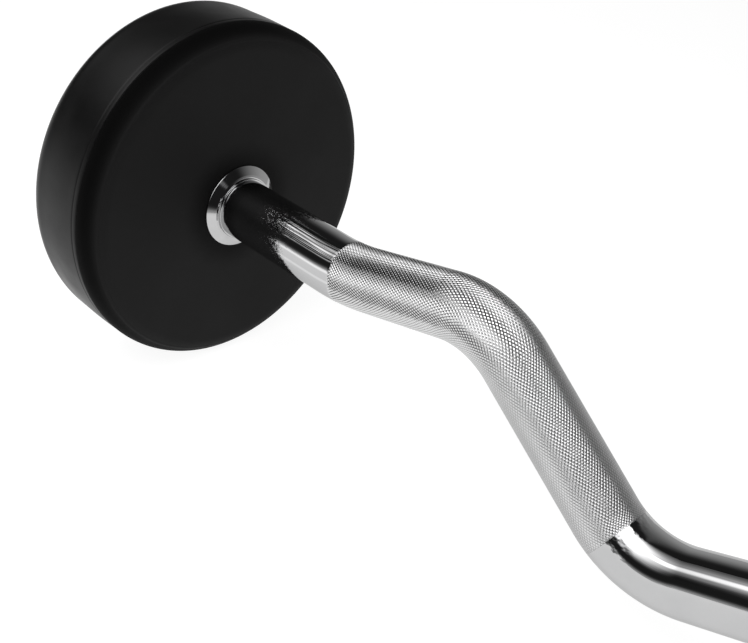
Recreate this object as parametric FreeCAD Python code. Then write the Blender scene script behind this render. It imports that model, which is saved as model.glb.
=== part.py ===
import FreeCAD, Part
import math
import os

# Fixed-weight EZ curl barbell: one bent steel bar with a permanent round,
# rubber-covered weight on each end.  Units are millimetres.
# Frame: +X along the common axis of the two heads, +Z up, origin on the floor
# below mid-length.  The barbell lies on its two heads, valleys of the bar down.

V = FreeCAD.Vector

# ---------------------------------------------------------------- dimensions
# bar
bar_r = 14.0              # grip radius, a 28 mm bar
end_len = 76.0            # head face to the first bend (corner point)
rise_ang = 13.5           # outer grip, upwards from the head axis
rise_len = 76.0           # corner to corner
fall_ang = -36.0          # inner grip, downwards
fall_len = 110.5
lift_ang = 23.0           # smooth part, up towards the middle
lift_len = 100.0
mid_half = 45.0           # half of the level middle part, to its corner
bend_outer = 100.0        # centre-line radii of the bends
bend_crest = 43.5
bend_valley = 40.5
bend_mid = 60.0

# turned end of the bar inside each head
spigot_r = 12.0
spigot_len = 20.0
tap_r = 6.0               # M12 hole, thread drawn as a plain cylinder
tap_depth = 28.0
tap_cone = 3.0
key_w = 8.0
key_bar_depth = 4.0
key_bush_depth = 3.3
key_h = 7.0
key_from, key_to = 2.5, 19.0

# head
head_r = 81.5
head_w = 48.0
head_edge = 10.0          # rounding of both rims
part_groove_w = 1.2       # mould parting line at the inner rim
part_groove_d = 0.6
rubber_side = 5.0         # rubber over the flat faces of the core
rubber_wall = 8.0         # rubber over the rim of the core
core_edge = 4.0
face_recess_r = 61.0      # shallow dish on the outer face
face_recess_d = 1.2

# hub, clamp stack
bush_r = 18.0
bush_len = 22.0
pocket_r = 22.0           # pocket in the outer side of the core
washer_r = 20.0
washer_hole_r = 6.6
washer_t = 4.0
lock_r = 10.5
lock_hole_r = 6.3
lock_t = 2.5
lock_gap = 1.6
bolt_r = 5.9
bolt_len = 36.0
bolt_head_r = 9.0
bolt_head_h = 12.0
hex_af = 10.0
hex_depth = 6.0

# end cap
cap_r = 27.0
cap_gap = 0.3
cap_t = 3.4
cap_skirt_r = 21.8
cap_skirt_t = 2.2
cap_skirt_len = 5.0
cap_dish = 1.8
cap_slot_w = 3.0

# chrome collar against the inner face of the head
collar_r = 19.8
collar_side = 0.6              # thin rim beside the head
collar_bevel_r = 16.2          # inner edge of the conical front
collar_bevel_h = 3.0
collar_flat_r = 15.2           # inner edge of the narrow flat
collar_flat_h = 3.3
collar_lip_r = 14.8            # low lip around the bar
collar_h = 4.2

# ---------------------------------------------------------------- helpers
X = V(1, 0, 0)


def rad(a):
    return math.radians(a)


def tube(r_out, r_in, x0, x1):
    s = Part.makeCylinder(r_out, x1 - x0, V(x0, 0, 0), X)
    if r_in > 0:
        s = s.cut(Part.makeCylinder(r_in, x1 - x0 + 2, V(x0 - 1, 0, 0), X))
    return s


def rod(r, x0, x1):
    return Part.makeCylinder(r, x1 - x0, V(x0, 0, 0), X)


def turned(points):
    """Solid of revolution about X from closed (x, radius) corners."""
    pts = [V(x, 0, r) for x, r in points]
    face = Part.Face(Part.makePolygon(pts + [pts[0]]))
    return face.revolve(V(0, 0, 0), X, 360)


def rim_edges(shape, x, r):
    out = []
    for e in shape.Edges:
        c = e.Curve
        if isinstance(c, Part.Circle) and abs(c.Radius - r) < 1e-3 and abs(c.Center.x - x) < 1e-3:
            out.append(e)
    return out


def round_rims(shape, rims, radius):
    edges = []
    for x, r in rims:
        edges += rim_edges(shape, x, r)
    return shape.makeFillet(radius, edges)


def bevel_rims(shape, rims, size):
    edges = []
    for x, r in rims:
        edges += rim_edges(shape, x, r)
    return shape.makeChamfer(size, edges)


# ---------------------------------------------------------------- bar
def corner_points():
    """Centre-line corners from mid-length out to the right head face,
    measured back from the head so that the head axis is at height 0."""
    p = [(0.0, 0.0), (end_len, 0.0)]
    for ang, ln in ((rise_ang, rise_len), (fall_ang, fall_len), (lift_ang, lift_len)):
        x, z = p[-1]
        p.append((x + ln * math.cos(rad(ang)), z + ln * math.sin(rad(ang))))
    p.append((p[-1][0] + mid_half, p[-1][1]))
    return p


side = corner_points()
half = side[-1][0]                     # mid-length to the inner face of a head
axis_z = head_r                        # the heads rest on z = 0
radii = [bend_outer, bend_crest, bend_valley, bend_mid]

left = [(x - half, z + axis_z) for x, z in side[:-1]]
right = [(-x, z) for x, z in reversed(left)]
corners = [V(x, 0, z) for x, z in left + right]
bends = radii + list(reversed(radii))

edges = []
length = 0.0
here = corners[0]
for i, r in enumerate(bends):
    a, b, c = corners[i], corners[i + 1], corners[i + 2]
    u = (b - a).normalize()
    w = (c - b).normalize()
    turn = u.getAngle(w)
    t = r * math.tan(turn / 2.0)
    p0, p1 = b - u * t, b + w * t
    n = (w - u).normalize()
    centre = b + n * (r / math.cos(turn / 2.0))
    pm = centre - n * r
    edges.append(Part.LineSegment(here, p0).toShape())
    edges.append(Part.Arc(p0, pm, p1).toShape())
    length += (p0 - here).Length + r * turn
    here = p1
edges.append(Part.LineSegment(here, corners[-1]).toShape())
length += (corners[-1] - here).Length
path = Part.Wire(edges)
start = Part.Wire(Part.makeCircle(bar_r, corners[0], X))
bar = path.makePipeShell([start], True, False)
print("bar volume / section x length:", bar.Volume / (math.pi * bar_r ** 2 * length))
print("half inner length", half, "centre line length", length)


def end_features():
    """Turned spigot, and the cutters for its keyway and tapped hole."""
    spigot = bevel_rims(rod(spigot_r, -0.5, spigot_len), [(spigot_len, spigot_r)], 1.0)
    slot = Part.makeBox(spigot_len - 2.0 + 2.0, key_w, 10.0,
                        V(2.0, -key_w / 2, spigot_r - key_bar_depth))
    tap = rod(tap_r, spigot_len - tap_depth, spigot_len + 1)
    tip = Part.makeCone(tap_r, 0, tap_cone, V(spigot_len - tap_depth, 0, 0), V(-1, 0, 0))
    return spigot, [slot, tap, tip]


def to_right(s):
    s = s.copy()
    s.translate(V(half, 0, axis_z))
    return s


def to_left(s):
    s = s.copy()
    s.rotate(V(0, 0, 0), V(0, 0, 1), 180)
    s.translate(V(-half, 0, axis_z))
    return s


spigot, cutters = end_features()
for place in (to_right, to_left):
    bar = bar.fuse(place(spigot))
bar = bar.removeSplitter()
for place in (to_right, to_left):
    for c in cutters:
        bar = bar.cut(place(c))

# ---------------------------------------------------------------- one head
# Local x runs outwards from the inner face of the head (x = 0) to the outer
# face (x = head_w).
core_r = head_r - rubber_wall
core_x0, core_x1 = rubber_side, head_w - rubber_side

core_block = round_rims(rod(core_r, core_x0, core_x1),
                        [(core_x0, core_r), (core_x1, core_r)], core_edge)

cover = round_rims(rod(head_r, 0, head_w), [(0, head_r), (head_w, head_r)], head_edge)
cover = cover.cut(core_block)
cover = cover.cut(rod(bush_r, -1, core_x0 + 0.5))
cover = cover.cut(rod(cap_r + cap_gap, core_x1 - 0.5, head_w + 1))
dish = turned([(head_w + 1, 0), (head_w + 1, face_recess_r + 1.0),
               (head_w, face_recess_r), (head_w - face_recess_d, face_recess_r - 2.4),
               (head_w - face_recess_d, 0)])
cover = cover.cut(dish)
gx = head_edge
groove = turned([(gx - part_groove_w / 2, head_r + 0.5), (gx + part_groove_w / 2, head_r + 0.5),
                 (gx + part_groove_w / 2, head_r), (gx, head_r - part_groove_d),
                 (gx - part_groove_w / 2, head_r)])
cover = cover.cut(groove)

core = core_block.cut(rod(bush_r, 0, head_w))
core = core.cut(rod(pocket_r, bush_len, head_w))
core = bevel_rims(core, [(core_x1, pocket_r)], 0.6)

bush = tube(bush_r, spigot_r, 0, bush_len)
bush = bush.cut(Part.makeBox(bush_len + 2, key_w, key_bush_depth + spigot_r,
                             V(-1, -key_w / 2, 0)))

key = Part.makeBox(key_to - key_from, key_w - 0.04, key_h,
                   V(key_from, -(key_w - 0.04) / 2, spigot_r - key_bar_depth))
key = key.makeFillet(2.0, [e for e in key.Edges
                           if abs(e.Vertexes[0].Point.x - e.Vertexes[1].Point.x) < 1e-6
                           and abs(e.Vertexes[0].Point.y - e.Vertexes[1].Point.y) < 1e-6])

wx = bush_len
washer = bevel_rims(tube(washer_r, washer_hole_r, wx, wx + washer_t),
                    [(wx + washer_t, washer_r)], 0.8)

lx = wx + washer_t
lock = tube(lock_r, lock_hole_r, lx, lx + lock_t)
split = Part.makeBox(lock_t + 4, lock_gap, lock_r + 2, V(lx - 2, -lock_gap / 2, 0))
split.rotate(V(lx + lock_t / 2, 0, 0), V(0, 0, 1), 25)
lock = lock.cut(split)

bx = lx + lock_t
bolt_shank = bevel_rims(rod(bolt_r, bx - bolt_len, bx + 1), [(bx - bolt_len, bolt_r)], 1.0)
bolt_head = bevel_rims(rod(bolt_head_r, bx, bx + bolt_head_h),
                       [(bx + bolt_head_h, bolt_head_r)], 0.9)
bolt = bolt_shank.fuse(bolt_head).removeSplitter()
hex_r = hex_af / math.sqrt(3)
hex_pts = [V(bx + bolt_head_h + 1, hex_r * math.cos(rad(60 * k)), hex_r * math.sin(rad(60 * k)))
           for k in range(6)]
hex_face = Part.Face(Part.makePolygon(hex_pts + [hex_pts[0]]))
bolt = bolt.cut(hex_face.extrude(V(-hex_depth - 1, 0, 0)))

cx = core_x1
cap = bevel_rims(rod(cap_r, cx, cx + cap_t), [(cx + cap_t, cap_r)], 0.8)
cap = cap.fuse(rod(cap_skirt_r, cx - cap_skirt_len, cx + 0.5)).removeSplitter()
cap = cap.cut(rod(cap_skirt_r - cap_skirt_t, cx - cap_skirt_len - 1, cx + cap_dish))
for k in range(4):
    slot = Part.makeBox(cap_skirt_len, cap_slot_w, cap_skirt_r + 2,
                        V(cx - cap_skirt_len - 0.5, -cap_slot_w / 2, 0))
    slot.rotate(V(0, 0, 0), X, 45 + 90 * k)
    cap = cap.cut(slot)

collar = turned([(0, bar_r), (0, collar_r), (-collar_side, collar_r), (-collar_bevel_h, collar_bevel_r),
                 (-collar_flat_h, collar_flat_r), (-collar_flat_h, collar_lip_r),
                 (-collar_h, collar_lip_r - 0.1), (-collar_h, bar_r)])
collar = round_rims(collar, [(-collar_side, collar_r)], 0.25)
collar = round_rims(collar, [(-collar_bevel_h, collar_bevel_r)], 0.6)
collar = round_rims(collar, [(-collar_flat_h, collar_flat_r)], 0.2)
collar = round_rims(collar, [(0, collar_r)], 0.2)
collar = round_rims(collar, [(-collar_h, collar_lip_r - 0.1)], 0.25)

# ---------------------------------------------------------------- nodes
nodes = {"curl_bar": bar}
pieces = {
    "head_cover": cover,
    "head_core": core,
    "hub_bush": bush,
    "drive_key": key,
    "clamp_washer": washer,
    "lock_washer": lock,
    "head_bolt": bolt,
    "end_cap": cap,
    "bar_collar": collar,
}
for name, shape in pieces.items():
    nodes["left_" + name] = to_left(shape)
    nodes["right_" + name] = to_right(shape)

os.makedirs("parts", exist_ok=True)
for name, shape in nodes.items():
    if shape.ShapeType == "Compound" and len(shape.Solids) == 1:
        shape = shape.Solids[0]
    ok = shape.isValid() and len(shape.Solids) == 1 and shape.Volume > 0
    print("%-20s solids %d valid %s volume %.1f" % (name, len(shape.Solids), ok, shape.Volume))
    shape.exportStep("parts/%s.step" % name)
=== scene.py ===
import math
import random

import bpy
import bmesh
import numpy as np
from mathutils import Matrix, Vector, noise


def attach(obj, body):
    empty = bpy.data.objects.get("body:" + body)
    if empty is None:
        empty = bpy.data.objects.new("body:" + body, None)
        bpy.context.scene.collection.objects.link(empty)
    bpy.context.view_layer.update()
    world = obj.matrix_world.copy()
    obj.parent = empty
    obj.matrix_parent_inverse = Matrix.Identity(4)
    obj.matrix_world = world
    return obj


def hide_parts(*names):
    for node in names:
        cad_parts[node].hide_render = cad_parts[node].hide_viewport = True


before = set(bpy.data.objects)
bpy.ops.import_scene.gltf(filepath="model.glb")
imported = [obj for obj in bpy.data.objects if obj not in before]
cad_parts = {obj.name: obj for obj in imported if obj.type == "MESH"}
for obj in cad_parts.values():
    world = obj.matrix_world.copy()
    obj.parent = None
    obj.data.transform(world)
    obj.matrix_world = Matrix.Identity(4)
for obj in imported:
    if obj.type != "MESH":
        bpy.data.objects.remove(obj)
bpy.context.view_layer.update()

# Fixed-weight EZ curl barbell: finish of every surface.  Metres, row frame:
# +X along the axis of the heads, +Z up, the two heads rest on z = 0.

scene = bpy.context.scene
MM = 0.001
RNG = np.random.default_rng(7)
noise.seed_set(11)

# ---------------------------------------------------------------- dimensions
# the same numbers as the construction model, in millimetres
BAR_R = 14.0
END_LEN = 76.0
LEGS = ((13.5, 76.0), (-36.0, 110.5), (23.0, 100.0))      # angle, corner to corner
MID_HALF = 45.0
BENDS = (100.0, 43.5, 40.5, 60.0)                         # centre-line radii
HEAD_R, HEAD_W, HEAD_EDGE = 81.5, 48.0, 10.0
CROWN = 0.25                # the wall of a head is slightly barrel-shaped
AXIS_Z = HEAD_R

# the knurled grips, measured along the bar from a head's inner face
KNURL_FROM, KNURL_TO = 75.0, 244.5
KNURL_AROUND = 64           # diamonds round the bar
KNURL_ROWS = 166            # half-diamond rows along a grip
KNURL_DEPTH = 0.20
KNURL_TOP = 0.52            # rounded top of a diamond, share of its width
KNURL_DOME = 0.035          # rise of the top towards its middle
KNURL_R = 13.98             # over the tops


# ---------------------------------------------------------------- bar path
def corner_points():
    p = [(0.0, 0.0), (END_LEN, 0.0)]
    for ang, ln in LEGS:
        a = math.radians(ang)
        p.append((p[-1][0] + ln * math.cos(a), p[-1][1] + ln * math.sin(a)))
    p.append((p[-1][0] + MID_HALF, p[-1][1]))
    return p


SIDE = corner_points()
HALF = SIDE[-1][0]
LEFT = [(x - HALF, z + AXIS_Z) for x, z in SIDE[:-1]]
CORNERS = np.array(LEFT + [(-x, z) for x, z in reversed(LEFT)])
RADII = list(BENDS) + list(reversed(BENDS))


def make_path():
    spans = []
    here, s = CORNERS[0], 0.0
    for i, r in enumerate(RADII):
        a, b, c = CORNERS[i], CORNERS[i + 1], CORNERS[i + 2]
        u = (b - a) / np.linalg.norm(b - a)
        w = (c - b) / np.linalg.norm(c - b)
        turn = math.atan2(u[0] * w[1] - u[1] * w[0], float(u @ w))
        t = r * math.tan(abs(turn) / 2)
        p0, p1 = b - u * t, b + w * t
        ln = float(np.linalg.norm(p0 - here))
        spans.append((s, s + ln, here, u, 0.0))
        s += ln
        spans.append((s, s + r * abs(turn), p0, u, math.copysign(1.0 / r, turn)))
        s += r * abs(turn)
        here = p1
    u = (CORNERS[-1] - here) / np.linalg.norm(CORNERS[-1] - here)
    ln = float(np.linalg.norm(CORNERS[-1] - here))
    spans.append((s, s + ln, here, u, 0.0))
    return spans, s + ln


PATH, LENGTH = make_path()


def on_path(s):
    """Centre-line points and directions (x, z) for an array of lengths s, in mm."""
    s = np.asarray(s, float)
    pos = np.zeros(s.shape + (2,))
    tan = np.zeros(s.shape + (2,))
    for k, (s0, s1, p, u, curve) in enumerate(PATH):
        lo = -1e9 if k == 0 else s0
        hi = 1e9 if k == len(PATH) - 1 else s1
        m = (s >= lo) & (s <= hi)
        d = s[m] - s0
        n = np.array([-u[1], u[0]])
        if curve == 0.0:
            pos[m] = p + d[:, None] * u
            tan[m] = u
        else:
            a = d * curve
            pos[m] = p + (np.sin(a) / curve)[:, None] * u + ((1 - np.cos(a)) / curve)[:, None] * n
            tan[m] = np.cos(a)[:, None] * u + np.sin(a)[:, None] * n
    return pos, tan


def on_bar(s, phi, r):
    """Points (metres) at length s along the bar, angle phi from its upper side towards -Y, radius r (mm)."""
    pos, tan = on_path(s)
    up = r * np.cos(phi)
    side = r * np.sin(phi)
    return np.stack([pos[..., 0] - tan[..., 1] * up, -side, pos[..., 1] + tan[..., 0] * up], -1) * MM


# ---------------------------------------------------------------- mesh helpers
def finish_mesh(name, verts, faces, uv=None, along=None, sharp=30.0, flat=False):
    """Object from arrays.  uv: unwrapped chart in 0..1, along: length and girth in metres, both per corner."""
    me = bpy.data.meshes.new(name)
    me.from_pydata([tuple(v) for v in np.asarray(verts, float)], [], [tuple(f) for f in faces])
    if along is not None:
        layer = me.uv_layers.new(name="along")
        layer.uv.foreach_set("vector", np.asarray(along, np.float32).ravel())
    if uv is not None:
        layer = me.uv_layers.new(name="OFBake")
        layer.uv.foreach_set("vector", np.asarray(uv, np.float32).ravel())
    me.validate()
    bm = bmesh.new()
    bm.from_mesh(me)
    bmesh.ops.recalc_face_normals(bm, faces=bm.faces)
    bm.to_mesh(me)
    bm.free()
    if flat:
        me.shade_flat()
    else:
        me.shade_smooth()
        me.set_sharp_from_angle(angle=math.radians(sharp))
    ob = bpy.data.objects.new(name, me)
    scene.collection.objects.link(ob)
    return ob


def rings_to_mesh(name, place, rings, n, closed, sharp=30.0, seam=math.pi, girth=14.0):
    """Sweeps (length, radius) rings, given in mm, with place(s, phi, r).  A radius of 0 is a pole.
    closed joins the last ring to the first."""
    phi = seam + np.arange(n) * 2 * math.pi / n
    verts, start = [], []
    for s, r in rings:
        start.append(len(verts))
        if r == 0.0:
            verts.append(place(np.array([s]), np.array([0.0]), 0.0)[0])
        else:
            verts.extend(place(np.full(n, s), phi, r))
    run = [0.0]
    loop = list(range(len(rings))) + ([0] if closed else [])
    for a, b in zip(loop[:-1], loop[1:]):
        run.append(run[-1] + math.hypot(rings[a][0] - rings[b][0], rings[a][1] - rings[b][1]))
    total = run[-1]
    faces, uv, along = [], [], []
    for i, (a, b) in enumerate(zip(loop[:-1], loop[1:])):
        pa, pb = rings[a][1] == 0.0, rings[b][1] == 0.0
        va, vb = 0.005 + 0.99 * run[i] / total, 0.005 + 0.99 * run[i + 1] / total
        for k in range(n):
            k2 = (k + 1) % n
            ua, ub = 0.005 + 0.99 * k / n, 0.005 + 0.99 * (k + 1) / n
            ga, gb = k / n * 2 * math.pi * girth * MM, (k + 1) / n * 2 * math.pi * girth * MM
            if pa and pb:
                continue
            if pa:
                faces.append((start[a], start[b] + k, start[b] + k2))
                uv += [((ua + ub) / 2, va), (ua, vb), (ub, vb)]
                along += [(run[i] * MM, (ga + gb) / 2), (run[i + 1] * MM, ga), (run[i + 1] * MM, gb)]
            elif pb:
                faces.append((start[a] + k2, start[a] + k, start[b]))
                uv += [(ub, va), (ua, va), ((ua + ub) / 2, vb)]
                along += [(run[i] * MM, gb), (run[i] * MM, ga), (run[i + 1] * MM, (ga + gb) / 2)]
            else:
                faces.append((start[a] + k, start[a] + k2, start[b] + k2, start[b] + k))
                uv += [(ua, va), (ub, va), (ub, vb), (ua, vb)]
                along += [(run[i] * MM, ga), (run[i] * MM, gb), (run[i + 1] * MM, gb), (run[i + 1] * MM, ga)]
    return finish_mesh(name, verts, faces, uv, along, sharp)


def arc(cx, cy, r, a0, a1, n):
    """Points (s, radius) on a fillet, angles in degrees, both ends included."""
    return [(cx + r * math.cos(math.radians(a0 + (a1 - a0) * k / n)),
             cy + r * math.sin(math.radians(a0 + (a1 - a0) * k / n))) for k in range(n + 1)]


def rounded(corners, n=5):
    """Closed outline through (s, radius, fillet) corners: arcs of n steps, and rings close to both ends of
    every straight stretch, so that shading stays on the arcs."""
    stops = []
    for k, (s, r, f) in enumerate(corners):
        b = np.array((s, r), float)
        u = b - np.array(corners[k - 1][:2], float)
        w = np.array(corners[(k + 1) % len(corners)][:2], float) - b
        u, w = u / np.linalg.norm(u), w / np.linalg.norm(w)
        if f == 0:
            stops.append([b])
            continue
        turn = math.atan2(u[0] * w[1] - u[1] * w[0], float(u @ w))
        first = b - u * f * math.tan(abs(turn) / 2)
        side = math.copysign(1.0, turn)
        centre = first + side * f * np.array([-u[1], u[0]])
        arm = first - centre
        stops.append([centre + np.array([arm[0] * math.cos(a) - arm[1] * math.sin(a), arm[0] * math.sin(a) + arm[1] * math.cos(a)])
                      for a in [turn * j / n for j in range(n + 1)]])
    out = []
    for k, run in enumerate(stops):
        out += [tuple(q) for q in run]
        a, b = run[-1], stops[(k + 1) % len(stops)][0]
        ln = float(np.linalg.norm(b - a))
        if ln > 0.5:
            out += [tuple(a + (b - a) * t) for t in (0.08 / ln, 0.5, 1 - 0.08 / ln)]
    return out


def line(p, q, n):
    """Points from p towards q, without q."""
    return [(p[0] + (q[0] - p[0]) * k / n, p[1] + (q[1] - p[1]) * k / n) for k in range(n)]


def head_place(side):
    """Places local (outward length, angle, radius) of a head: side -1 is the left one."""
    def place(s, phi, r):
        x = side * (HALF + s)
        return np.stack([x, -side * r * np.sin(phi), AXIS_Z + r * np.cos(phi)], -1) * MM
    return place


# ---------------------------------------------------------------- bar pieces
def smooth_rings(s0, s1, r=BAR_R, step=1.2):
    n = max(2, int(math.ceil((s1 - s0) / step)))
    return [(s0 + (s1 - s0) * k / n, r) for k in range(n + 1)]


def mirrored(rings):
    return [(LENGTH - s, r) for s, r in rings]


def end_rings():
    """Bar end: tapped hole, turned spigot with its shoulder, then the smooth bar up to the grip."""
    return ([(11.0, 0.0), (8.0, 6.0), (-20.0, 6.0), (-20.0, 11.0), (-19.0, 12.0), (0.0, 12.0), (0.0, 13.6), (0.4, BAR_R)]
            + smooth_rings(1.5, KNURL_FROM - 0.2) + [(KNURL_FROM - 0.15, BAR_R - 0.01), (KNURL_FROM, BAR_R - 0.15),
                                                     (KNURL_FROM, 0.0)])


def middle_rings():
    a, b = KNURL_TO, LENGTH - KNURL_TO
    return ([(a, 0.0), (a, BAR_R - 0.15), (a + 0.15, BAR_R - 0.01)] + smooth_rings(a + 0.2, b - 0.2)
            + [(b - 0.15, BAR_R - 0.01), (b, BAR_R - 0.15), (b, 0.0)])


def cut_keyway(ob, side):
    x0, x1 = sorted((side * (HALF + 2.0), side * (HALF + 21.0)))
    me = bpy.data.meshes.new("cutter")
    bm = bmesh.new()
    bmesh.ops.create_cube(bm, size=1.0)
    for v in bm.verts:
        v.co = Vector(((x0 if v.co.x < 0 else x1) * MM, (-4.0 if v.co.y < 0 else 4.0) * MM,
                       (AXIS_Z + (8.0 if v.co.z < 0 else 16.0)) * MM))
    bm.to_mesh(me)
    bm.free()
    cutter = bpy.data.objects.new("cutter", me)
    scene.collection.objects.link(cutter)
    mod = ob.modifiers.new("keyway", "BOOLEAN")
    mod.operation, mod.object, mod.solver = "DIFFERENCE", cutter, "EXACT"
    dg = bpy.context.evaluated_depsgraph_get()
    made = bpy.data.meshes.new_from_object(ob.evaluated_get(dg))
    ob.modifiers.clear()
    old = ob.data
    ob.data = made
    made.name = ob.name
    bpy.data.meshes.remove(old)
    bpy.data.objects.remove(cutter)
    bpy.data.meshes.remove(me)
    made.set_sharp_from_angle(angle=math.radians(30))


def ease(t):
    t = np.clip(t, 0.0, 1.0)
    return t * t * (3 - 2 * t)


def knurl(name, head_at_start):
    """A diamond-knurled grip.  Groove crossings lie on a lattice of rows and columns; each diamond between
    four crossings is a pyramid with a blunt, slightly domed top."""
    n2, rows = 2 * KNURL_AROUND, KNURL_ROWS
    step = (KNURL_TO - KNURL_FROM) / rows
    dphi = 2 * math.pi / n2
    seam = math.pi

    def depth(s, phi):
        head_end = 0.45 + 0.55 * ease((s - KNURL_FROM) / 1.2)
        mid_end = 0.45 + 0.55 * ease((KNURL_TO - s) / 1.2)
        return KNURL_DEPTH * head_end * mid_end * (1.0 - 0.45 * ease((s - KNURL_FROM - 55.0) / 80.0))

    verts_s, verts_p, verts_r = [], [], []

    def add(s, p, r):
        verts_s.append(s)
        verts_p.append(p)
        verts_r.append(r)
        return len(verts_s) - 1

    cross = {}
    for j in range(rows + 1):
        for i in range(n2):
            if (i + j) % 2 == 0:
                s, p = KNURL_FROM + j * step, seam + i * dphi
                k = 1.0 + 0.03 * RNG.standard_normal()
                cross[i, j] = add(s, p, KNURL_R - depth(s, p) * max(0.9, min(1.1, k)))
    faces, chart = [], []
    rim = {0: [], rows: []}
    for j in range(rows + 1):
        for i in range(n2):
            if (i + j) % 2 == 0:
                continue
            s, p = KNURL_FROM + j * step, seam + i * dphi
            d = float(depth(s, p))
            f = KNURL_TOP * (1 + 0.03 * RNG.uniform(-1, 1))
            low = 0.02 * d * RNG.uniform(0, 1)
            tilt = 0.02 * d * RNG.uniform(-1, 1, 4)
            top = {}
            for key, (di, dj) in {"w": (-1, 0), "e": (1, 0), "a": (0, -1), "b": (0, 1)}.items():
                if not 0 <= j + dj <= rows:
                    continue
                q = "weab".index(key)
                top[key] = add(s + f * dj * step, p + f * di * dphi,
                               KNURL_R - (KNURL_DOME + low + tilt[q] * 0.5 if 0 < j < rows else KNURL_DOME))
            w, e = cross[(i - 1) % n2, j], cross[(i + 1) % n2, j]
            turns = []
            if "a" in top and "b" in top:
                a, b = cross[i, j - 1], cross[i, j + 1]
                peak = add(s, p, KNURL_R - low)
                turns = [(w, a, top["a"], top["w"]), (a, e, top["e"], top["a"]),
                         (e, b, top["b"], top["e"]), (b, w, top["w"], top["b"]),
                         (top["w"], top["a"], peak), (top["a"], top["e"], peak),
                         (top["e"], top["b"], peak), (top["b"], top["w"], peak)]
            elif "b" in top:
                b = cross[i, j + 1]
                turns = [(e, b, top["b"], top["e"]), (b, w, top["w"], top["b"]), (top["w"], top["e"], top["b"])]
                rim[0] += [w, top["w"], top["e"]]
            else:
                a = cross[i, j - 1]
                turns = [(w, a, top["a"], top["w"]), (a, e, top["e"], top["a"]), (top["w"], top["a"], top["e"])]
                rim[rows] += [w, top["w"], top["e"]]
            faces += turns
    S, P = np.array(verts_s), np.array(verts_p)
    flat_s = S if head_at_start else LENGTH - S
    verts = list(on_bar(flat_s, P, np.array(verts_r)))
    chart_s, chart_p = list(S), list(P)
    for j in (0, rows):
        s = KNURL_FROM + j * step
        c = len(verts)
        verts.append(on_bar(np.array([s if head_at_start else LENGTH - s]), np.array([0.0]), 0.0)[0])
        chart_s.append(s + (-3.0 if j == 0 else 3.0))
        chart_p.append(None)
        loop = rim[j]
        faces += [(c, loop[k], loop[(k + 1) % len(loop)]) for k in range(len(loop))]
    # chart: length by girth, each face kept whole across the seam
    uv, along = [], []
    span = KNURL_TO - KNURL_FROM + 6.0
    for f in faces:
        ps = [chart_p[v] for v in f if chart_p[v] is not None]
        base = ps[0]
        mean = base + sum(((q - base + math.pi) % (2 * math.pi)) - math.pi for q in ps) / len(ps)
        mean = seam + (mean - seam) % (2 * math.pi)
        for v in f:
            q = chart_p[v]
            q = mean if q is None else mean + ((q - mean + math.pi) % (2 * math.pi)) - math.pi
            u = (q - seam + 0.08) / (2 * math.pi + 0.16)
            uv.append((0.01 + 0.98 * u, 0.01 + 0.98 * (chart_s[v] - KNURL_FROM + 3.0) / span))
            along.append(((chart_s[v]) * MM, (q - seam) * BAR_R * MM))
    return finish_mesh(name, verts, faces, uv, along, flat=True)


# ---------------------------------------------------------------- head pieces
def cover_rings():
    """Closed outline of the rubber cover, outward length and radius: outside first, then the cavity of the core."""
    e, R, W = HEAD_EDGE, HEAD_R, HEAD_W
    g = 0.60
    p = line((0.0, 18.0), (0.0, R - e), 26)
    p += arc(e, R - e, e, 180, 94.5, 22)
    p += [(e - 0.55, R - 0.02), (e - 0.12, R - g), (e + 0.10, R - g), (e + 0.42, R - 0.10), (e + 0.75, R),
          (e + 2.3, R), (e + 2.5, R - 0.16), (e + 2.7, R - 0.16), (e + 2.95, R)]
    p += [(x, R + CROWN * (1 - ((x - W / 2) / (W / 2 - e)) ** 2) ** 2) for x, _ in line((e + 3.4, R), (W - e, R), 20)]
    p += arc(W - e, R - e, e, 90, 0, 22)
    p += line((W, R - e - 0.8), (W, 61.3), 6)
    p += [(W - 0.02, 61.05), (W - 0.15, 60.7)]
    p += [(W - 1.05, 58.9), (W - 1.18, 58.5), (W - 1.2, 58.1)]
    p += line((W - 1.2, 57.5), (W - 1.2, 27.8), 16)
    p += [(W - 1.25, 27.45), (W - 1.6, 27.3), (42.5, 27.3), (42.5, 26.9), (43.0, 26.6), (43.0, 69.5)]
    p += arc(39.0, 69.5, 4.0, 0, 90, 6)[1:]
    p += arc(9.0, 69.5, 4.0, 90, 180, 6)
    p += [(5.0, 18.0)]
    return p


def cover(name, side):
    ob = rings_to_mesh(name, head_place(side), cover_rings(), 288, True, sharp=38.0, girth=HEAD_R)
    # moulded rubber is never quite true: long shallow waves on the outside
    me = ob.data
    n = len(me.vertices)
    co = np.empty(n * 3, np.float32)
    me.vertices.foreach_get("co", co)
    co = co.reshape(-1, 3)
    for k in range(n):
        v = Vector(co[k])
        r = math.hypot(v.y, v.z - AXIS_Z * MM)
        x = abs(v.x) - HALF * MM
        outside = r > 0.0746 or x < 0.0005 or x > 0.0462
        if not outside or r < 0.0285:
            continue
        q = Vector((v.x + side * 0.37, v.y, v.z))
        h = 0.030 * noise.noise(q * 26.0) + 0.016 * noise.noise(q * 62.0)
        c = Vector((side * (HALF + HEAD_W / 2) * MM, 0.0, AXIS_Z * MM))
        if r > 0.0746 and 0.0 < x < 0.048:
            d = Vector((0.0, v.y, v.z - c.z)).normalized()
        else:
            d = Vector((side if x > 0.024 else -side, 0.0, 0.0))
        v -= d * (0.03 + h) * MM * 0.9
        co[k] = v
    me.vertices.foreach_set("co", co.ravel())
    me.update()
    return ob


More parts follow.
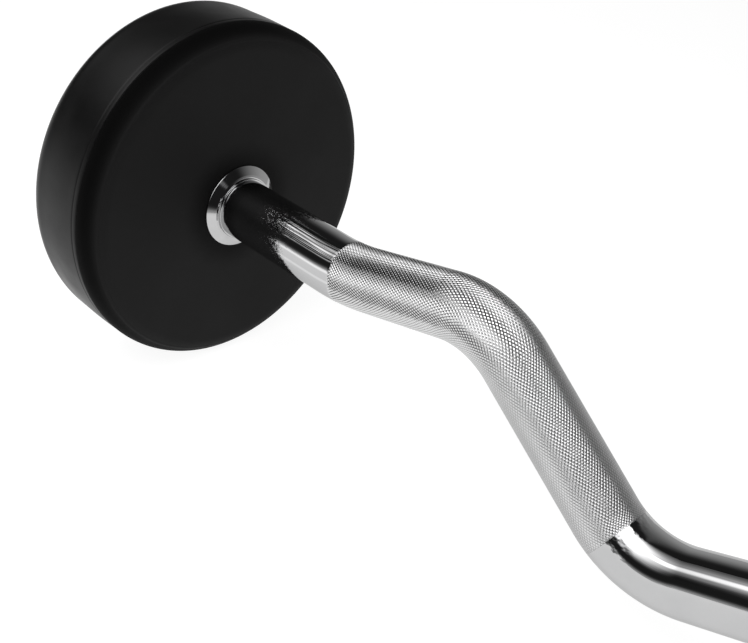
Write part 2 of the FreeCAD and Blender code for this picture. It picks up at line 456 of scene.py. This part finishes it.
def collar_rings():
    """Chrome collar: conical from a thin rim beside the head, a narrow flat at its end and a low lip round the bar,
    outward length negative."""
    return rounded([(0.0, 14.0, 0.0), (0.0, 19.8, 0.2), (-0.6, 19.8, 0.25), (-3.0, 16.2, 0.6), (-3.3, 15.2, 0.2),
                    (-3.3, 14.8, 0.0), (-4.2, 14.7, 0.25), (-4.2, 14.0, 0.0)])


def cap_rings():
    """Snap-in cap: skirt inside, plate with a bevelled rim, a shallow ring groove and a slightly sunk middle."""
    return [(44.8, 0.0), (44.8, 19.6), (38.0, 19.6), (38.0, 21.4), (38.4, 21.8), (43.0, 21.8), (43.0, 26.9),
            (43.1, 27.0), (45.55, 27.0), (45.9, 26.9), (46.25, 26.55), (46.38, 26.25), (46.4, 25.9), (46.4, 24.2),
            (46.36, 24.0), (46.1, 23.85), (45.95, 23.6), (45.95, 23.1), (46.1, 22.85), (46.34, 22.7), (46.38, 22.4),
            (46.38, 21.0), (46.36, 18.0), (46.33, 14.0), (46.3, 10.0), (46.28, 6.0), (46.27, 2.5), (46.27, 0.0)]


# ---------------------------------------------------------------- materials
def new_material(name):
    m = bpy.data.materials.new(name)
    m.use_nodes = True
    nt = m.node_tree
    nt.nodes.clear()
    out = nt.nodes.new("ShaderNodeOutputMaterial")
    b = nt.nodes.new("ShaderNodeBsdfPrincipled")
    nt.links.new(b.outputs["BSDF"], out.inputs["Surface"])
    return m, nt, b


def coords(nt, kind="Object", uv=None, scale=(1, 1, 1)):
    if uv:
        t = nt.nodes.new("ShaderNodeUVMap")
        t.uv_map = uv
        src = t.outputs["UV"]
    else:
        t = nt.nodes.new("ShaderNodeTexCoord")
        src = t.outputs[kind]
    mp = nt.nodes.new("ShaderNodeMapping")
    mp.inputs["Scale"].default_value = scale
    nt.links.new(src, mp.inputs["Vector"])
    return mp.outputs["Vector"]


def noise_tex(nt, vec, scale, detail=3.0, rough=0.5, distort=0.0):
    t = nt.nodes.new("ShaderNodeTexNoise")
    t.inputs["Scale"].default_value = scale
    t.inputs["Detail"].default_value = detail
    t.inputs["Roughness"].default_value = rough
    t.inputs["Distortion"].default_value = distort
    nt.links.new(vec, t.inputs["Vector"])
    return t.outputs["Fac"]


def spread(nt, value, a, b, c, d):
    t = nt.nodes.new("ShaderNodeMapRange")
    t.inputs["From Min"].default_value, t.inputs["From Max"].default_value = a, b
    t.inputs["To Min"].default_value, t.inputs["To Max"].default_value = c, d
    nt.links.new(value, t.inputs["Value"])
    return t.outputs["Result"]


def ramp(nt, value, stops):
    t = nt.nodes.new("ShaderNodeValToRGB")
    e = t.color_ramp.elements
    while len(e) < len(stops):
        e.new(0.5)
    for x, (pos, col) in zip(e, stops):
        x.position = pos
        x.color = (*col, 1.0) if len(col) == 3 else col
    nt.links.new(value, t.inputs["Fac"])
    return t.outputs["Color"]


def math_node(nt, op, a, b=None):
    t = nt.nodes.new("ShaderNodeMath")
    t.operation = op
    for k, v in enumerate((a, b)):
        if v is None:
            continue
        if isinstance(v, (int, float)):
            t.inputs[k].default_value = v
        else:
            nt.links.new(v, t.inputs[k])
    return t.outputs[0]


def bump(nt, height, distance, strength=1.0, normal=None):
    t = nt.nodes.new("ShaderNodeBump")
    t.inputs["Strength"].default_value = strength
    t.inputs["Distance"].default_value = distance
    nt.links.new(height, t.inputs["Height"])
    if normal is not None:
        nt.links.new(normal, t.inputs["Normal"])
    return t.outputs["Normal"]


def step_node(nt, value, a, b, c=0.0, d=1.0):
    t = nt.nodes.new("ShaderNodeMapRange")
    t.interpolation_type = "SMOOTHSTEP"
    t.inputs["From Min"].default_value, t.inputs["From Max"].default_value = a, b
    t.inputs["To Min"].default_value, t.inputs["To Max"].default_value = c, d
    nt.links.new(value, t.inputs["Value"])
    return t.outputs["Result"]


def band(nt, value, up0, up1, down0, down1):
    """1 between up1 and down0, easing to 0 at up0 and down1."""
    ends = []
    for a, b in ((up0, up1), (down1, down0)):
        t = nt.nodes.new("ShaderNodeMapRange")
        t.interpolation_type = "SMOOTHSTEP"
        t.inputs["From Min"].default_value, t.inputs["From Max"].default_value = min(a, b), max(a, b)
        lo_hi = (0.0, 1.0) if a < b else (1.0, 0.0)
        t.inputs["To Min"].default_value, t.inputs["To Max"].default_value = lo_hi
        nt.links.new(value, t.inputs["Value"])
        ends.append(t.outputs["Result"])
    return math_node(nt, "MULTIPLY", ends[0], ends[1])


def summed(nt, *terms):
    total = terms[0]
    for t in terms[1:]:
        total = math_node(nt, "ADD", total, t)
    return total


def chrome_bar(name, tone=0.50):
    """Plated bar: polished along its length.  The plating's bump is streaked, most of all beside the heads, grainy
    there, and a little wavy where the rolled grip ends.
    Painted in its colour: dark streak lines beside the heads and grey bands either side of one line past the grip,
    where the soft box's reflection falls, and two bright painted highlight lines beside the heads."""
    m, nt, b = new_material(name)
    b.inputs["Metallic"].default_value = 1.0
    b.inputs["Specular Tint"].default_value = (0.72, 0.72, 0.72, 1.0)
    streak = noise_tex(nt, coords(nt, uv="along", scale=(9.0, 480.0, 1.0)), 1.0, 3.0, 0.55)
    fine = noise_tex(nt, coords(nt, uv="along", scale=(90.0, 3600.0, 1.0)), 1.0, 2.0, 0.5)
    cloud = noise_tex(nt, coords(nt), 60.0, 4.0, 0.6)
    grain = noise_tex(nt, coords(nt, uv="along", scale=(1900.0, 2300.0, 1.0)), 1.0, 2.0, 0.6)
    patch = noise_tex(nt, coords(nt, uv="along", scale=(420.0, 700.0, 1.0)), 1.0, 3.0, 0.65)
    wave = noise_tex(nt, coords(nt), 330.0, 1.5, 0.5)
    sep = nt.nodes.new("ShaderNodeSeparateXYZ")
    nt.links.new(coords(nt), sep.inputs["Vector"])
    reach = math_node(nt, "SUBTRACT", HALF * MM, math_node(nt, "ABSOLUTE", sep.outputs["X"]))     # from the head's face
    x_end = HALF * MM - abs(float(on_path(np.array([KNURL_TO]))[0][0][0])) * MM
    uv = nt.nodes.new("ShaderNodeSeparateXYZ")
    nt.links.new(coords(nt, uv="along"), uv.inputs["Vector"])
    upper = band(nt, uv.outputs["Y"], 0.0492, 0.0512, 0.0564, 0.0580)                           # round the bar, from below
    near_head = math_node(nt, "MULTIPLY", band(nt, reach, 0.030, 0.044, 0.080, 0.090), upper)
    grainy = math_node(nt, "MULTIPLY", band(nt, reach, 0.016, 0.030, 0.040, 0.058),
                       math_node(nt, "MULTIPLY", spread(nt, patch, 0.45, 0.62, 0.0, 1.0),
                                 step_node(nt, uv.outputs["Y"], 0.0580, 0.0605, 1.0, 0.4)))
    # shading only: the normal leans away from the head, so that the light parts begin nearer to it
    lean = math_node(nt, "MULTIPLY", band(nt, reach, 0.004, 0.018, 0.048, 0.076),
                     step_node(nt, uv.outputs["Y"], 0.0640, 0.0730, 0.053, 0.027))
    tilt = nt.nodes.new("ShaderNodeCombineXYZ")
    nt.links.new(math_node(nt, "MULTIPLY", lean, math_node(nt, "MULTIPLY", math_node(nt, "SIGN", sep.outputs["X"]), -1.0)),
                 tilt.inputs["X"])
    shape = nt.nodes.new("ShaderNodeNewGeometry")
    bent = nt.nodes.new("ShaderNodeVectorMath")
    bent.operation = "ADD"
    nt.links.new(shape.outputs["Normal"], bent.inputs[0])
    nt.links.new(tilt.outputs["Vector"], bent.inputs[1])
    unit = nt.nodes.new("ShaderNodeVectorMath")
    unit.operation = "NORMALIZE"
    nt.links.new(bent.outputs["Vector"], unit.inputs[0])
    wavy = band(nt, reach, x_end - 0.020, x_end - 0.010, x_end + 0.004, x_end + 0.016)
    # painted shade: beside the heads the colour is darkened in streak lines across the band where the soft box's
    # reflection falls
    streak_pattern = noise_tex(nt, coords(nt, uv="along", scale=(16.0, 760.0, 1.0)), 1.0, 3.0, 0.6)
    painted_dark_lines = math_node(nt, "MULTIPLY", near_head, spread(nt, streak_pattern, 0.44, 0.62, 0.84, 0.0))
    # painted reflection: past the grip the colour is darkened either side of one thin line where the soft box's
    # reflection falls, so it shows as one bright line between two grey bands
    painted_grey_bands = math_node(nt, "SUBTRACT", band(nt, uv.outputs["Y"], 0.0490, 0.0504, 0.0558, 0.0572),
                     math_node(nt, "MULTIPLY", band(nt, uv.outputs["Y"], 0.0520, 0.0527, 0.0534, 0.0542), 0.95))
    painted_grey_bands = math_node(nt, "MULTIPLY", painted_grey_bands, band(nt, reach, x_end + 0.008, x_end + 0.026, x_end + 0.075, x_end + 0.105))
    painted_dark_lines = math_node(nt, "ADD", painted_dark_lines, math_node(nt, "MULTIPLY", painted_grey_bands, spread(nt, streak_pattern, 0.35, 0.65, 0.70, 0.50)))
    plated_with_painted_light_and_shade = nt.nodes.new("ShaderNodeVectorMath")
    plated_with_painted_light_and_shade.operation = "SCALE"
    nt.links.new(ramp(nt, cloud, [(0.3, (tone * 0.965, tone * 0.968, tone * 0.975)), (0.7, (tone * 1.02, tone * 1.02, tone * 1.025))]),
                 plated_with_painted_light_and_shade.inputs[0])
    # painted highlight: two brighter lines in the colour beside the heads, low on the near side of the bar
    painted_glint_lines = math_node(nt, "ADD", band(nt, uv.outputs["Y"], 0.0609, 0.0616, 0.0622, 0.0630),
                      math_node(nt, "MULTIPLY", band(nt, uv.outputs["Y"], 0.0657, 0.0664, 0.0668, 0.0676), 0.5))
    painted_glint_lines = math_node(nt, "MULTIPLY", painted_glint_lines, band(nt, reach, 0.030, 0.044, 0.080, 0.090))
    # colour scale: one less the painted dark lines and grey bands, plus half the painted highlight lines
    painted_light_scale = math_node(nt, "ADD", math_node(nt, "SUBTRACT", 1.0, painted_dark_lines), math_node(nt, "MULTIPLY", painted_glint_lines, 0.5))
    nt.links.new(painted_light_scale, plated_with_painted_light_and_shade.inputs["Scale"])
    nt.links.new(plated_with_painted_light_and_shade.outputs["Vector"], b.inputs["Base Color"])
    mixed = math_node(nt, "ADD", math_node(nt, "MULTIPLY", fine, 0.5), math_node(nt, "MULTIPLY", cloud, 0.5))
    nt.links.new(math_node(nt, "ADD", spread(nt, mixed, 0.3, 0.7, 0.025, 0.065), math_node(nt, "MULTIPLY", grainy, 0.10)),
                 b.inputs["Roughness"])
    height = summed(nt,
                    math_node(nt, "MULTIPLY", streak, math_node(nt, "ADD", math_node(nt, "MULTIPLY", near_head, 0.00060), 0.000012)),
                    math_node(nt, "MULTIPLY", fine, 0.000003),
                    math_node(nt, "MULTIPLY", grain, math_node(nt, "MULTIPLY", grainy, 0.00005)),
                    math_node(nt, "MULTIPLY", wave, math_node(nt, "MULTIPLY", wavy, 0.00032)))
    nt.links.new(bump(nt, height, 1.0, normal=unit.outputs["Vector"]), b.inputs["Normal"])
    return m


def chrome_turned(name, tone=0.50):
    """Plated and turned: fine rings round the axis of the heads."""
    m, nt, b = new_material(name)
    b.inputs["Metallic"].default_value = 1.0
    b.inputs["Specular Tint"].default_value = (0.72, 0.72, 0.72, 1.0)
    sep = nt.nodes.new("ShaderNodeSeparateXYZ")
    nt.links.new(coords(nt), sep.inputs["Vector"])
    y2 = math_node(nt, "POWER", math_node(nt, "ABSOLUTE", sep.outputs["Y"]), 2.0)
    z2 = math_node(nt, "POWER", math_node(nt, "ABSOLUTE", math_node(nt, "SUBTRACT", sep.outputs["Z"], AXIS_Z * MM)), 2.0)
    away = math_node(nt, "SQRT", math_node(nt, "ADD", y2, z2))
    put = nt.nodes.new("ShaderNodeCombineXYZ")
    nt.links.new(math_node(nt, "MULTIPLY", sep.outputs["X"], 2600.0), put.inputs["X"])
    nt.links.new(math_node(nt, "MULTIPLY", away, 2600.0), put.inputs["Y"])
    rings = noise_tex(nt, put.outputs["Vector"], 1.0, 3.0, 0.55)
    cloud = noise_tex(nt, coords(nt), 120.0, 4.0, 0.6)
    grain = noise_tex(nt, coords(nt), 2300.0, 2.0, 0.5)
    nt.links.new(ramp(nt, cloud, [(0.3, (tone * 0.95, tone * 0.953, tone * 0.96)), (0.7, (tone * 1.03, tone * 1.03, tone * 1.035))]),
                 b.inputs["Base Color"])
    nt.links.new(spread(nt, cloud, 0.3, 0.7, 0.03, 0.06), b.inputs["Roughness"])
    height = summed(nt, math_node(nt, "MULTIPLY", rings, 0.000004), math_node(nt, "MULTIPLY", grain, 0.000003))
    # shading only: the normal of the cone leans upwards, which lowers the border between light and dark
    tilt = nt.nodes.new("ShaderNodeCombineXYZ")
    nt.links.new(step_node(nt, away, 0.0150, 0.0155, 0.0, 0.18), tilt.inputs["Z"])
    shape = nt.nodes.new("ShaderNodeNewGeometry")
    bent = nt.nodes.new("ShaderNodeVectorMath")
    bent.operation = "ADD"
    nt.links.new(shape.outputs["Normal"], bent.inputs[0])
    nt.links.new(tilt.outputs["Vector"], bent.inputs[1])
    unit = nt.nodes.new("ShaderNodeVectorMath")
    unit.operation = "NORMALIZE"
    nt.links.new(bent.outputs["Vector"], unit.inputs[0])
    nt.links.new(bump(nt, height, 1.0, normal=unit.outputs["Vector"]), b.inputs["Normal"])
    return m


def knurl_chrome(name):
    m, nt, b = new_material(name)
    b.inputs["Metallic"].default_value = 1.0
    b.inputs["Specular Tint"].default_value = (0.75, 0.75, 0.75, 1.0)
    v = coords(nt, scale=(1.0, 1.0, 1.0))
    cloud = noise_tex(nt, v, 70.0, 4.0, 0.6)
    grain = noise_tex(nt, v, 2600.0, 2.0, 0.5)
    uv = nt.nodes.new("ShaderNodeSeparateXYZ")
    nt.links.new(coords(nt, uv="along"), uv.inputs["Vector"])
    # painted shade: the colour is darker along one side of the bar, past the bend
    side = math_node(nt, "MULTIPLY", step_node(nt, uv.outputs["X"], 0.130, 0.200),              # darker along one side
                     step_node(nt, uv.outputs["Y"], 0.0630, 0.0700, 0.0, 0.22))
    # painted shade: the grooves between the diamonds are darker than the tops
    col = math_node(nt, "MULTIPLY", uv.outputs["Y"], KNURL_AROUND / (2 * math.pi * BAR_R * MM))
    row = math_node(nt, "MULTIPLY", math_node(nt, "SUBTRACT", uv.outputs["X"], KNURL_FROM * MM),
                    0.5 * KNURL_ROWS / ((KNURL_TO - KNURL_FROM) * MM))
    off = math_node(nt, "MINIMUM", math_node(nt, "PINGPONG", math_node(nt, "ADD", col, row), 0.5),
                    math_node(nt, "PINGPONG", math_node(nt, "SUBTRACT", col, row), 0.5))
    groove = step_node(nt, off, 0.0, 0.25, 0.45, 0.0)
    plated_with_painted_light_and_shade = nt.nodes.new("ShaderNodeVectorMath")
    plated_with_painted_light_and_shade.operation = "SCALE"
    nt.links.new(ramp(nt, cloud, [(0.3, (0.69, 0.692, 0.695)), (0.7, (0.75, 0.75, 0.752))]), plated_with_painted_light_and_shade.inputs[0])
    nt.links.new(math_node(nt, "MULTIPLY", math_node(nt, "SUBTRACT", 1.0, side), math_node(nt, "SUBTRACT", 1.0, groove)),
                 plated_with_painted_light_and_shade.inputs["Scale"])
    nt.links.new(plated_with_painted_light_and_shade.outputs["Vector"], b.inputs["Base Color"])
    dull = math_node(nt, "ADD", step_node(nt, uv.outputs["X"], 0.110, 0.175, 0.0, 0.15),        # duller past the bend
                     step_node(nt, uv.outputs["X"], 0.175, 0.230, 0.0, 0.05))
    nt.links.new(math_node(nt, "ADD", spread(nt, grain, 0.3, 0.7, 0.11, 0.17), dull), b.inputs["Roughness"])
    nt.links.new(bump(nt, grain, 0.000006), b.inputs["Normal"])
    return m


def rubber(name):
    """Moulded rubber: dull on the flat faces, satin on the wall and its roundings."""
    m, nt, b = new_material(name)
    v = coords(nt)
    sep = nt.nodes.new("ShaderNodeSeparateXYZ")
    nt.links.new(v, sep.inputs["Vector"])
    y2 = math_node(nt, "POWER", math_node(nt, "ABSOLUTE", sep.outputs["Y"]), 2.0)
    z2 = math_node(nt, "POWER", math_node(nt, "ABSOLUTE", math_node(nt, "SUBTRACT", sep.outputs["Z"], AXIS_Z * MM)), 2.0)
    away = math_node(nt, "SQRT", math_node(nt, "ADD", y2, z2))
    out = math_node(nt, "SUBTRACT", math_node(nt, "ABSOLUTE", sep.outputs["X"]), HALF * MM)        # from the inner face
    wall = math_node(nt, "MULTIPLY", band(nt, out, 0.0098, 0.0100, 0.0462, 0.0470), step_node(nt, away, 0.070, 0.073))
    rounding = math_node(nt, "MULTIPLY", step_node(nt, away, 0.0760, 0.0792), step_node(nt, out, 0.0100, 0.0097))
    edge = math_node(nt, "MULTIPLY", step_node(nt, away, 0.0780, 0.0810), step_node(nt, out, 0.0100, 0.0097))
    hub = step_node(nt, away, 0.034, 0.020)
    # painted shade: the colour is darker on the rounding next to the parting line, and a painted shadow lies round the
    # hub beside the collar
    painted_shade = math_node(nt, "SUBTRACT", 1.0, math_node(nt, "MAXIMUM", math_node(nt, "MULTIPLY", rounding, 0.7), math_node(nt, "MULTIPLY", hub, 0.6)))
    cloud = noise_tex(nt, v, 38.0, 4.0, 0.6)
    grain = noise_tex(nt, v, 2400.0, 3.0, 0.6)
    dust = noise_tex(nt, v, 420.0, 5.0, 0.65)
    tone = math_node(nt, "ADD", math_node(nt, "MULTIPLY", cloud, 0.7), math_node(nt, "MULTIPLY", dust, 0.3))
    colour = nt.nodes.new("ShaderNodeVectorMath")
    colour.operation = "SCALE"
    nt.links.new(ramp(nt, tone, [(0.3, (0.0040, 0.0040, 0.0041)), (0.7, (0.0068, 0.0067, 0.0067))]), colour.inputs[0])
    nt.links.new(painted_shade, colour.inputs["Scale"])
    nt.links.new(colour.outputs["Vector"], b.inputs["Base Color"])
    dull = math_node(nt, "ADD", spread(nt, tone, 0.3, 0.7, 0.64, 0.76), math_node(nt, "MULTIPLY", rounding, 0.1))
    blotch = noise_tex(nt, v, 70.0, 2.0, 0.5)
    satin = math_node(nt, "ADD", spread(nt, tone, 0.2, 0.8, 0.25, 0.36), spread(nt, blotch, 0.2, 0.8, 0.0, 0.12))
    mix = nt.nodes.new("ShaderNodeMix")
    mix.data_type = "FLOAT"
    nt.links.new(wall, mix.inputs["Factor"])
    nt.links.new(dull, mix.inputs["A"])
    nt.links.new(satin, mix.inputs["B"])
    nt.links.new(mix.outputs["Result"], b.inputs["Roughness"])
    b.inputs["Specular IOR Level"].default_value = 0.17
    # painted shade: the specular tint is darker on that rounding, along its outer edge and round the hub, which dims
    # their sheen
    painted_sheen_shade = math_node(nt, "SUBTRACT", 1.0, math_node(nt, "MAXIMUM", summed(nt, math_node(nt, "MULTIPLY", rounding, 0.45), math_node(nt, "MULTIPLY", edge, 0.4)),
                                                 math_node(nt, "MULTIPLY", hub, 0.5)))
    nt.links.new(ramp(nt, painted_sheen_shade, [(0.0, (0.0, 0.0, 0.0)), (1.0, (1.0, 1.0, 1.0))]), b.inputs["Specular Tint"])
    n1 = bump(nt, grain, 0.00002, 0.6)
    n2 = bump(nt, cloud, 0.0002, 0.5, normal=n1)
    # the flat face ends in a faint moulded ridge
    ridge = math_node(nt, "MULTIPLY", band(nt, away, 0.0754, 0.0763, 0.0765, 0.0774), 0.00026)
    nt.links.new(bump(nt, ridge, 1.0, normal=n2), b.inputs["Normal"])
    return m


def cap_plastic(name):
    m, nt, b = new_material(name)
    v = coords(nt)
    grain = noise_tex(nt, v, 1500.0, 3.0, 0.6)
    cloud = noise_tex(nt, v, 60.0, 3.0, 0.5)
    nt.links.new(ramp(nt, cloud, [(0.3, (0.016, 0.016, 0.017)), (0.7, (0.022, 0.022, 0.023))]), b.inputs["Base Color"])
    nt.links.new(spread(nt, cloud, 0.3, 0.7, 0.32, 0.42), b.inputs["Roughness"])
    b.inputs["Specular IOR Level"].default_value = 0.4
    nt.links.new(bump(nt, grain, 0.00003, 0.7), b.inputs["Normal"])
    return m


def steel(name, dark, light, rough, turned=2600.0, metallic=1.0, pits=0.0):
    m, nt, b = new_material(name)
    b.inputs["Metallic"].default_value = metallic
    v = coords(nt)
    rings = noise_tex(nt, coords(nt, scale=(turned, 40.0, 40.0)), 1.0, 2.0, 0.5)
    cloud = noise_tex(nt, v, 90.0, 5.0, 0.6)
    nt.links.new(ramp(nt, cloud, [(0.3, dark), (0.7, light)]), b.inputs["Base Color"])
    nt.links.new(spread(nt, cloud, 0.3, 0.7, rough[0], rough[1]), b.inputs["Roughness"])
    n = bump(nt, rings, 0.00001)
    if pits:
        n = bump(nt, noise_tex(nt, v, 700.0, 4.0, 0.65), pits, normal=n)
    nt.links.new(n, b.inputs["Normal"])
    return m


CHROME = chrome_bar("chrome_bar")
COLLAR_CHROME = chrome_turned("chrome_collar")
KNURL_CHROME = knurl_chrome("chrome_knurl")
RUBBER = rubber("moulded_rubber")
CAP = cap_plastic("cap_plastic")
IRON = steel("cast_iron", (0.045, 0.044, 0.043), (0.085, 0.08, 0.078), (0.55, 0.75), 200.0, 0.85, 0.00012)
MACHINED = steel("machined_steel", (0.42, 0.42, 0.42), (0.54, 0.54, 0.53), (0.22, 0.34))
ZINC = steel("zinc_steel", (0.50, 0.51, 0.53), (0.62, 0.62, 0.60), (0.28, 0.42))
BLACK = steel("black_steel", (0.018, 0.018, 0.020), (0.035, 0.034, 0.034), (0.38, 0.52), 2600.0, 0.6)


def dress(ob, mat, slot, *nodes):
    ob.data.materials.clear()
    ob.data.materials.append(mat)
    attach(ob, "root")
    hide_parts(*nodes)
    return ob


# ---------------------------------------------------------------- build
left_end = rings_to_mesh("bar_end_left", on_bar, end_rings(), 128, False)
cut_keyway(left_end, -1)
right_end = rings_to_mesh("bar_end_right", on_bar, mirrored(end_rings()), 128, False)
cut_keyway(right_end, 1)
middle = rings_to_mesh("bar_middle", on_bar,
                       middle_rings(), 128, False)
grip_left = knurl("grip_knurl_left", True)
grip_right = knurl("grip_knurl_right", False)
for ob in (left_end, right_end, middle):
    dress(ob, CHROME, "chrome", "curl_bar")
for ob in (grip_left, grip_right):
    dress(ob, KNURL_CHROME, "chrome", "curl_bar")

for word, side in (("left", -1), ("right", 1)):
    dress(cover(word + "_cover", side), RUBBER, "rubber", word + "_head_cover")
    ring = rings_to_mesh(word + "_collar", head_place(side), collar_rings(), 160, True, sharp=28.0, girth=17.0)
    dress(ring, COLLAR_CHROME, "chrome", word + "_bar_collar")
    lid = rings_to_mesh(word + "_cap", head_place(side), cap_rings(), 160, False, sharp=35.0, girth=20.0)
    dress(lid, CAP, "cap_plastic", word + "_end_cap")

INNER = {"head_core": IRON, "hub_bush": MACHINED, "drive_key": MACHINED, "clamp_washer": ZINC,
         "lock_washer": ZINC, "head_bolt": BLACK}
for word in ("left", "right"):
    for part, mat in INNER.items():
        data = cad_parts[word + "_" + part].data
        if len(data.materials) == 0:
            data.materials.append(mat)
        for k in range(len(data.materials)):
            data.materials[k] = mat

# ---------------------------------------------------------------- floor
floor_me = bpy.data.meshes.new("floor")
bm = bmesh.new()
bmesh.ops.create_circle(bm, cap_ends=True, segments=96, radius=14.0)
bm.to_mesh(floor_me)
bm.free()
floor = bpy.data.objects.new("floor", floor_me)
scene.collection.objects.link(floor)
m, nt, b = new_material("floor_white")
r = nt.nodes.new("ShaderNodeVectorMath")
r.operation = "LENGTH"
nt.links.new(coords(nt), r.inputs[0])
far = spread(nt, r.outputs["Value"], 1.5, 6.0, 0.0, 1.0)
nt.links.new(ramp(nt, far, [(0.0, (0.22, 0.22, 0.22)), (1.0, (0.20, 0.20, 0.20))]), b.inputs["Base Color"])
b.inputs["Roughness"].default_value = 0.9
b.inputs["Specular IOR Level"].default_value = 0.0
nt.links.new(ramp(nt, far, [(0.0, (1.0, 1.0, 1.0)), (1.0, (0.62, 0.62, 0.62))]), b.inputs["Emission Color"])
b.inputs["Emission Strength"].default_value = 0.93
floor_me.materials.append(m)


# ---------------------------------------------------------------- light
# one wide soft box overhead, on the near side of the bar; its edges fade out, most of all to the front and the left
BOX_Z, BAR_Z = 1.15, 0.09
BOX_SIZE = (3.6, 3.2)
BOX_AT = (-0.38, -1.40)
box_data = bpy.data.lights.new("soft_box_top", "AREA")
box_data.shape = "RECTANGLE"
box_data.size, box_data.size_y = BOX_SIZE
box_data.energy = BOX_SIZE[0] * BOX_SIZE[1] * 4.0
box = bpy.data.objects.new("soft_box_top", box_data)
scene.collection.objects.link(box)
box.location = (BOX_AT[0], BOX_AT[1], BOX_Z)
box.visible_camera = False
box_data.use_nodes = True
nt = box_data.node_tree
nt.nodes.clear()
out = nt.nodes.new("ShaderNodeOutputLight")
em = nt.nodes.new("ShaderNodeEmission")
nt.links.new(em.outputs["Emission"], out.inputs["Surface"])
geo = nt.nodes.new("ShaderNodeNewGeometry")
sep = nt.nodes.new("ShaderNodeSeparateXYZ")
nt.links.new(geo.outputs["Position"], sep.inputs["Vector"])
h = BOX_Z - BAR_Z
px = math_node(nt, "DIVIDE", sep.outputs["X"], h)
py = math_node(nt, "DIVIDE", sep.outputs["Y"], h)
left = math_node(nt, "MINIMUM", math_node(nt, "MAXIMUM", math_node(nt, "MULTIPLY", px, -1.0), 0.0), 1.2)
skew = math_node(nt, "SUBTRACT", py, math_node(nt, "MULTIPLY", left, 0.25))
width = math_node(nt, "ADD", math_node(nt, "MULTIPLY", left, 0.70), 0.22)
back_edge = step_node(nt, math_node(nt, "DIVIDE", math_node(nt, "SUBTRACT", 0.05, skew), width), 0.0, 1.0)
lean = math_node(nt, "SUBTRACT", py, math_node(nt, "MULTIPLY", left, 0.38))
front = math_node(nt, "DIVIDE", math_node(nt, "MAXIMUM", math_node(nt, "SUBTRACT", -0.75, lean), 0.0), 0.72)
front_fade = math_node(nt, "EXPONENT", math_node(nt, "MULTIPLY", math_node(nt, "MULTIPLY", front, front), -1.0))
side_fade = math_node(nt, "MULTIPLY", step_node(nt, px, -2.0, -0.9), step_node(nt, px, 0.30, 0.95, 1.0, 0.0))
level = math_node(nt, "MULTIPLY", math_node(nt, "MULTIPLY", back_edge, front_fade), side_fade)
nt.links.new(math_node(nt, "MULTIPLY", level, 2.3), em.inputs["Strength"])
em.inputs["Color"].default_value = (1.0, 0.997, 1.0, 1.0)

# pale wall behind, brightest low down and straight back; the near side of the room is dark
world = bpy.data.worlds.new("studio")
scene.world = world
world.use_nodes = True
nt = world.node_tree
nt.nodes.clear()
out = nt.nodes.new("ShaderNodeOutputWorld")
bg = nt.nodes.new("ShaderNodeBackground")
nt.links.new(bg.outputs["Background"], out.inputs["Surface"])
tc = nt.nodes.new("ShaderNodeTexCoord")
sep = nt.nodes.new("ShaderNodeSeparateXYZ")
nt.links.new(tc.outputs["Generated"], sep.inputs["Vector"])
el = math_node(nt, "MAXIMUM", math_node(nt, "ARCSINE", sep.outputs["Z"]), 0.0)          # radians above the horizon
x2 = math_node(nt, "MULTIPLY", sep.outputs["X"], sep.outputs["X"])
y2 = math_node(nt, "MULTIPLY", sep.outputs["Y"], sep.outputs["Y"])
across = math_node(nt, "DIVIDE", math_node(nt, "ADD", x2, y2), math_node(nt, "ADD", y2, 0.0005))
back_fall = math_node(nt, "POWER", math_node(nt, "MULTIPLY", math_node(nt, "DIVIDE", el, math.radians(47.0)), across), 1.55)
back = math_node(nt, "MULTIPLY", math_node(nt, "EXPONENT", math_node(nt, "MULTIPLY", back_fall, -1.0)), 0.53)
near_fall = math_node(nt, "POWER", math_node(nt, "DIVIDE", el, math.radians(5.0)), 2.0)
near = math_node(nt, "MULTIPLY", math_node(nt, "EXPONENT", math_node(nt, "MULTIPLY", near_fall, -1.0)), 0.45)
mix = nt.nodes.new("ShaderNodeMix")
mix.data_type = "FLOAT"
nt.links.new(step_node(nt, sep.outputs["Y"], -0.25, 0.30), mix.inputs["Factor"])
nt.links.new(near, mix.inputs["A"])
nt.links.new(back, mix.inputs["B"])
level = math_node(nt, "ADD", mix.outputs["Result"], 0.018)
lp = nt.nodes.new("ShaderNodeLightPath")
seen = nt.nodes.new("ShaderNodeMix")
seen.data_type = "FLOAT"
nt.links.new(lp.outputs["Is Camera Ray"], seen.inputs["Factor"])
nt.links.new(level, seen.inputs["A"])
seen.inputs["B"].default_value = 0.58
nt.links.new(seen.outputs["Result"], bg.inputs["Strength"])
bg.inputs["Color"].default_value = (1.0, 1.0, 1.0, 1.0)

scene.view_settings.view_transform = "Standard"

# ---------------------------------------------------------------- camera
cam_data = bpy.data.cameras.new("camera")
cam = bpy.data.objects.new("camera", cam_data)
scene.collection.objects.link(cam)
right = Vector((0.706758, 0.695398, 0.130057))
up = Vector((-0.50411, 0.366049, 0.782228))
ahead = Vector((-0.496352, 0.61841, -0.609265))
rot = Matrix((right, up, -ahead)).transposed()
cam.matrix_world = Matrix.Translation((-0.050291, -0.279652, 0.293102)) @ rot.to_4x4()
cam_data.sensor_fit = "HORIZONTAL"
cam_data.sensor_width = 36.0
cam_data.lens = 982.323 / 748.0 * 36.0
cam_data.shift_x = 0.0
cam_data.shift_y = (420.0 - 321.5) / 748.0
cam_data.clip_start, cam_data.clip_end = 0.01, 60.0
scene.camera = cam
